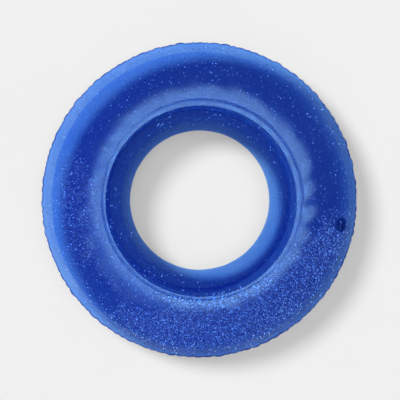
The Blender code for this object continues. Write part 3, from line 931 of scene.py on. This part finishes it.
class SWIMRING_OT_glitter(bpy.types.Operator):
    """Scatter the loose glitter: two drifts on the lower film and flakes that cling to the film elsewhere"""

    bl_idname = "swim_ring.make_glitter"
    bl_label = "Glitter"
    bl_options = {"REGISTER", "UNDO"}

    def execute(self, context):
        settings = context.scene.swim_ring
        look = settings.glitter
        material = flake_material(look)
        random = np.random.default_rng(look.seed)
        rows = {key: self.drift(random, look, key) for key in ("left", "clinging", "crease", "seam", "loose")}
        rows["seam"][:, 4] *= SEAM_SIZE
        left = rows.pop("left")
        single = self.scatter(random, look.single)
        for name in ("glitter_right", "glitter_right_over"):
            right = self.drift(random, look, "right")
            self.add(settings, name, random, right, material, "glitter_drift_right")
        self.add(settings, "glitter_left", random, left, material, "glitter_drift_left")
        self.add(settings, "glitter_clinging", random, np.concatenate(list(rows.values())), material)
        self.add(settings, "glitter_single", random, single, material)
        return {"FINISHED"}

    def drift(self, random, look, key):
        """Flakes of a drift, one row each: azimuth, radius, side of the ring, levelness and size.

        Flakes lie thickest in the middle between both ends. The drift's inner border is at the first radius
        in its middle and moves out to the second radius over the taper angle at its ends; its outer border is
        the third radius.
        """
        (first, last), (near, far, outer), taper, side, level = DRIFTS[key]
        flakes = getattr(look, key)
        azimuth = first + (last - first) * random.beta(*DRIFT_ALONG, flakes)
        to_end = np.minimum(azimuth - first, last - azimuth)
        inner = far + (near - far) * smooth_step(to_end, TAPER_START * taper, taper)
        radius = inner + (outer - inner) * random.beta(*DRIFT_ACROSS, flakes)
        size = random.uniform(*DRIFT_SIZES, flakes)
        return np.stack(np.broadcast_arrays(np.radians(azimuth), radius, side, level, size), axis=-1)

    def scatter(self, random, flakes):
        """Single flakes all round the ring, above and below, in the same rows as a drift."""
        azimuth = random.uniform(-math.pi, math.pi, flakes)
        radius = np.sqrt(random.uniform(SINGLE_RADII[0] ** 2, SINGLE_RADII[1] ** 2, flakes))
        side = random.choice([-1.0, 1.0], flakes, p=SINGLE_SIDES)
        size = random.uniform(*SINGLE_SIZES, flakes)
        return np.stack(np.broadcast_arrays(azimuth, radius, side, SINGLE_LEVEL, size), axis=-1)

    def clear_of_valve(self, settings, centre):
        """Whether each place lies aside of the valve's flange or deeper inside than its open flap reaches."""
        valve, place = settings.valve, ValveFrame(settings.ring)
        depth = (place.place - centre) @ place.out
        aside = np.linalg.norm(np.cross(centre - place.place, place.out), axis=-1)
        flap_reach = valve.stem_depth + 2.0 * valve.flap_radius
        return (aside > valve.flange_radius + FLANGE_CLEARANCE) | (depth > flap_reach + FLAP_CLEARANCE)

    def add(self, settings, name, random, rows, material, *nodes):
        """Put hexagonal flakes on the film's inner face, clear of the valve.

        A flake's mean direction lies between the film's own and straight up, by its levelness, and each flake
        is tilted its own way from there.
        """
        ring, look = settings.ring, settings.glitter
        azimuth, radius, side, level, size = rows.T
        panel = PanelSection(ring)
        wall = WallSection(ring, panel)
        on_panel = radius > ring.seam_radius
        turn = np.where(on_panel, panel.angle_at_radius(radius), wall.angle_at_radius(radius))
        bed_r, bed_z = np.where(on_panel, panel.at_angle(turn), wall.at_angle(turn))
        inward_r, inward_z = np.where(on_panel, -np.cos(turn), np.cos(turn)), -np.sin(turn)
        size = look.flake * size
        tilt = np.minimum(look.tilt * random.rayleigh(1.0, len(rows)), MOST_TILT)
        lean = tilt + level * np.arccos(np.clip(np.abs(inward_z), 0.0, 1.0))
        clearance = FILM_CLEARANCE * ring.film + DENT_CLEARANCE * ring.dent_depth
        inset = clearance + size * np.sin(np.minimum(lean, math.pi / 2.0))
        z = EQUATOR + side * (bed_z + inset * inward_z)
        centre = ring_points(bed_r + inset * inward_r, z, azimuth)
        normal = ring_points(inward_r, side * inward_z, azimuth)
        upright = np.stack([0.0 * level, 0.0 * level, -side], axis=-1)
        normal = unit(normal + level[:, None] * (upright - normal))
        normal = unit(normal + np.tan(tilt)[:, None] * sideways(normal, random))
        first = sideways(normal, random)
        second = np.cross(normal, first)
        corner = np.cos(FLAKE_TURNS) * first[:, None] + np.sin(FLAKE_TURNS) * second[:, None]
        rim = centre[:, None] + size[:, None, None] * corner
        half = 0.5 * look.thickness * normal[:, None]
        points = np.concatenate([rim + half, rim - half], axis=1)[self.clear_of_valve(settings, centre)]
        quads = FLAKE_QUADS + FLAKE_POINTS * np.arange(len(points))[:, None, None]
        piece = add_piece(name, points.reshape(-1, 3), quads.reshape(-1, 4), material, smooth=False)
        tone = random.uniform(0.0, 1.0, len(points)) ** TONES[name]
        set_attribute(piece, "tone", np.repeat(tone, FLAKE_POINTS))
        belong(piece, "ring", "glitter", *nodes)


STEM_ROUNDING, STRAP_ROUNDING, FLANGE_ROUNDING, SOLID_ROUNDING = 0.0003, 0.0003, 0.00028, 0.0002
SKIRT_RADIUS, SKIRT_TAPER, SKIRT_FOLD, SKIRT_WALL = 0.0093, 0.0018, 0.0003, 0.0002
DISH_RADIUS, DISH_FLOOR, DISH_DEPTH = 0.0064, 0.0060, 0.0005  # hollow in the cap's face
STOPPER_TIP, STOPPER_ROOT = 0.0030, 0.00415
SKIRT_ROWS, BEND_ROWS = 25, 17
STRAP_INSET = 0.0008


class SWIMRING_OT_valve(bpy.types.Operator):
    """Build the valve: flange, skirt, blow tube, flap, plug and strap"""

    bl_idname = "swim_ring.make_valve"
    bl_label = "Valve"
    bl_options = {"REGISTER", "UNDO"}

    def execute(self, context):
        settings = context.scene.swim_ring
        ring, valve = settings.ring, settings.valve
        material = vinyl_material(valve)
        place = ValveFrame(ring)
        self.add_flange(ring, valve, place, material)
        self.add_skirt(valve, place, material)
        piece = turned_piece("valve_stem_visual", self.stem(valve), place, valve, material)
        belong(piece, "stem", "valve_vinyl", "valve_stem")
        piece = turned_piece("valve_plug_visual", self.plug(valve), place, valve, material)
        belong(piece, "plug", "valve_vinyl", "valve_plug")
        self.add_strap(valve, place, material)
        piece = turned_piece("valve_flap_visual", self.flap(ring, valve), place, valve, material)
        belong(piece, "flap", "valve_vinyl", "valve_flap")
        return {"FINISHED"}

    def stem(self, valve):
        """Outline of the blow tube and its rim."""
        corners = [
            (valve.rim_radius, valve.rim_top),
            (valve.stem_bore, valve.rim_top),
            (valve.stem_bore, -valve.stem_depth),
            (valve.stem_radius, -valve.stem_depth),
            (valve.stem_radius, valve.rim_foot),
            (valve.rim_radius, valve.rim_foot),
        ]
        return rounded(corners, STEM_ROUNDING)

    def plug(self, valve):
        """Outline of a cap with a raised ring and a tapered stopper."""
        foot, top, tip = valve.cap_foot, valve.cap_foot + valve.cap, valve.cap_foot - valve.stopper
        corners = [
            (valve.rim_radius, top),
            (DISH_RADIUS, top),
            (DISH_FLOOR, top - DISH_DEPTH),
            (CORE, top - DISH_DEPTH),
            (CORE, tip),
            (STOPPER_TIP, tip),
            (STOPPER_ROOT, foot),
            (valve.rim_radius, foot),
        ]
        return solid(corners, SOLID_ROUNDING)

    def flap(self, ring, valve):
        """Outline of the thin round flap under the blow tube's inner end."""
        top = -valve.stem_depth - ring.weld_gap
        foot = top - valve.flap
        corners = [(valve.flap_radius, top), (CORE, top), (CORE, foot), (valve.flap_radius, foot)]
        return solid(corners, SOLID_ROUNDING)

    def add_flange(self, ring, valve, place, material):
        """Disc that follows the film's inner face, with the collar that goes out through the film.

        The turned outline is laid on the film: the distance from the valve's axis becomes a way along the
        film's two directions, and the height a step along the film's own normal there.
        """
        back = ring.film + ring.weld_gap
        corners = [
            (valve.flange_radius, -back),
            (valve.collar_radius, -back),
            (valve.collar_radius, valve.collar_top),
            (valve.bore, valve.collar_top),
            (valve.bore, -back - valve.flange),
            (valve.flange_radius, -back - 0.5 * valve.flange),
        ]
        x, y, w = turned(rounded(corners, FLANGE_ROUNDING), valve.steps)
        section = PanelSection(ring)
        dip = place.dip - y / section.shoulder
        radius, height = section.at_angle(dip)
        azimuth = place.azimuth + x / radius
        grid = ring_points(radius + w * np.cos(dip), EQUATOR - height - w * np.sin(dip), azimuth)
        piece = grid_piece("valve_flange_visual", grid, material)
        belong(piece, "ring", "valve_vinyl", "valve_flange")

    def add_skirt(self, valve, place, material):
        """Soft skirt with two shallow folds from the flange to the blow tube's inner end."""
        share = np.linspace(0.0, 1.0, SKIRT_ROWS)
        height = -valve.skirt_top - (valve.skirt_foot - valve.skirt_top) * share
        middle = SKIRT_RADIUS - SKIRT_TAPER * share + SKIRT_FOLD * np.sin(2.0 * FULL_TURN * share)
        outer = np.stack([middle + SKIRT_WALL, height], axis=-1)
        inner = np.stack([middle - SKIRT_WALL, height], axis=-1)
        outline = np.concatenate([outer, inner[::-1]])
        piece = turned_piece("valve_skirt_visual", outline, place, valve, material)
        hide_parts("valve_skirt")
        top = place.point(0.0, 0.0, -valve.skirt_top)
        foot = place.point(0.0, 0.0, -valve.skirt_foot)
        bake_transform(piece)

    def add_strap(self, valve, place, material):
        """Strap from the blow tube's rim, round a half turn, back to the cap's edge.

        A rounded rectangle is carried along a path of two straight legs and the half turn between them.
        """
        low = (valve.rim_foot + valve.rim_top) / 2.0
        high = valve.cap_foot + valve.cap / 2.0
        bend = (high - low) / 2.0
        turn = np.linspace(-math.pi / 2.0, math.pi / 2.0, BEND_ROWS)
        root = valve.rim_radius - STRAP_INSET
        path_x = np.r_[root, valve.strap_reach + bend * np.cos(turn), root]
        path_w = np.r_[low, (low + high) / 2.0 + bend * np.sin(turn), high]
        out_x, out_w = np.r_[0.0, np.cos(turn), 0.0], np.r_[-1.0, np.sin(turn), 1.0]
        half = np.array([valve.strap / 2.0, valve.strap_width / 2.0])
        section = rounded(np.array([(1, -1), (1, 1), (-1, 1), (-1, -1)]) * half, STRAP_ROUNDING)
        x = path_x + section[:, :1] * out_x
        w = path_w + section[:, :1] * out_w
        grid = place.point(x, np.broadcast_to(section[:, 1:], x.shape), w)
        ends = place.point(np.array([root, root]), np.zeros(2), np.array([low, high]))
        first, last = (np.broadcast_to(end, (len(grid), 1, 3)) for end in ends)
        piece = grid_piece("plug_strap_visual", np.concatenate([first, grid, last], axis=1), material)
        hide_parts("plug_strap")
        start = place.point(valve.strap_reach, 0.0, low)
        end = place.point(valve.strap_reach, 0.0, high)
        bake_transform(piece)


FLOOR_STEPS = 64
FILM_LAYERS = 48  # faces of film and flakes that a ray may pass


class SWIMRING_OT_stage(bpy.types.Operator):
    """Set the floor, the lamps, the room's light and the camera"""

    bl_idname = "swim_ring.make_stage"
    bl_label = "Stage"
    bl_options = {"REGISTER", "UNDO"}

    def execute(self, context):
        studio = context.scene.swim_ring.studio
        self.add_floor(studio)
        self.add_key(studio)
        self.add_room(context, studio)
        camera = bpy.data.cameras.new("camera")
        camera.lens = studio.lens
        holder = put("camera", camera)
        holder.location = studio.camera
        view = Vector(studio.aim) - Vector(studio.camera)
        holder.rotation_euler = (math.asin(view.y / view.length), math.atan2(-view.x, -view.z), 0.0)
        context.scene.camera = holder
        context.scene.view_settings.view_transform = "Standard"
        context.scene.cycles.transparent_max_bounces = FILM_LAYERS
        return {"FINISHED"}

    def add_floor(self, studio):
        """Round pale floor."""
        rim = ring_points(studio.floor_radius, 0.0, full_turn(FLOOR_STEPS)[:, 0])
        mesh = bpy.data.meshes.new("floor")
        mesh.from_pydata(rim.tolist(), [], [list(range(len(rim)))])
        mesh.materials.append(floor_material(studio))
        floor = put("floor", mesh)

    def add_key(self, studio):
        """Soft key light from the upper left; it grows with the way from the lamp, so that it lies evenly."""
        key = bpy.data.lights.new("key", "POINT")
        key.energy = 4.0 * math.pi * studio.key
        key.shadow_soft_size = studio.key_radius
        key.use_nodes = True
        tree = key.node_tree
        even = add_node(tree, "LightFalloff", {"Strength": 1.0})["Constant"]
        way = add_node(tree, "LightPath")["Ray Length"]
        level = math_node(tree, "DIVIDE", way, math.hypot(studio.key_reach, studio.key_height))
        tree.links.new(math_node(tree, "MULTIPLY", even, level), tree.nodes["Emission"].inputs["Strength"])
        holder = put("key", key)
        x, y = (studio.key_reach * turn(studio.key_azimuth) for turn in (math.cos, math.sin))
        holder.location = (x, y, studio.key_height)
        holder.visible_glossy = False

    def add_room(self, context, studio):
        """Dim room with a soft glow overhead and a dimmer light from the lower left."""
        room = bpy.data.worlds.new("room")
        room.use_nodes = True
        tree = room.node_tree
        place = add_node(tree, "TexCoord")["Generated"]
        total = studio.sky
        for name in ("glow", "fill"):
            lean, core, edge = (getattr(studio, f"{name}_{key}") for key in ("lean", "core", "edge"))
            middle = {0: place, 1: tuple(unit(np.array(lean)))}
            nearness = add_node(tree, "VectorMath", middle, operation="DOT_PRODUCT")["Value"]
            fade = {"start": math.cos(edge), "end": math.cos(core), "interpolation_type": "SMOOTHSTEP"}
            spot = ranged(tree, nearness, 0.0, getattr(studio, name), **fade)
            total = math_node(tree, "ADD", spot, total)
        background = tree.nodes["Background"].inputs
        tree.links.new(total, background["Strength"])
        background["Color"].default_value = (1.0, 1.0, 1.0, 1.0)
        context.scene.world = room


class SWIMRING_PT_panel(bpy.types.Panel):
    """Sidebar panel with the ring's settings and steps"""

    bl_label = "Swim ring"
    bl_idname = "SWIMRING_PT_panel"
    bl_space_type = "VIEW_3D"
    bl_region_type = "UI"
    bl_category = "Swim ring"

    def draw(self, context):
        settings = context.scene.swim_ring
        for step, group in (
            (SWIMRING_OT_film, settings.ring),
            (None, settings.film),
            (SWIMRING_OT_glitter, settings.glitter),
            (SWIMRING_OT_valve, settings.valve),
            (SWIMRING_OT_stage, settings.studio),
        ):
            box = self.layout.box()
            for key in group.bl_rna.properties.keys():
                if key not in {"name", "rna_type"}:
                    box.prop(group, key)
            if step is not None:
                box.operator(step.bl_idname)


CLASSES = (
    RingShape,
    FilmLook,
    GlitterShape,
    ValveShape,
    Studio,
    SwimRing,
    SWIMRING_OT_film,
    SWIMRING_OT_glitter,
    SWIMRING_OT_valve,
    SWIMRING_OT_stage,
    SWIMRING_PT_panel,
)


def register():
    """Register the add-on's classes and its settings."""
    for cls in CLASSES:
        bpy.utils.register_class(cls)
    bpy.types.Scene.swim_ring = bpy.props.PointerProperty(type=SwimRing)


def unregister():
    """Take the add-on's settings and classes away again."""
    del bpy.types.Scene.swim_ring
    for cls in reversed(CLASSES):
        bpy.utils.unregister_class(cls)


def main():
    register()
    bpy.ops.swim_ring.make_film()
    bpy.ops.swim_ring.make_glitter()
    bpy.ops.swim_ring.make_valve()
    bpy.ops.swim_ring.make_stage()


if __name__ == "__main__":
    main()
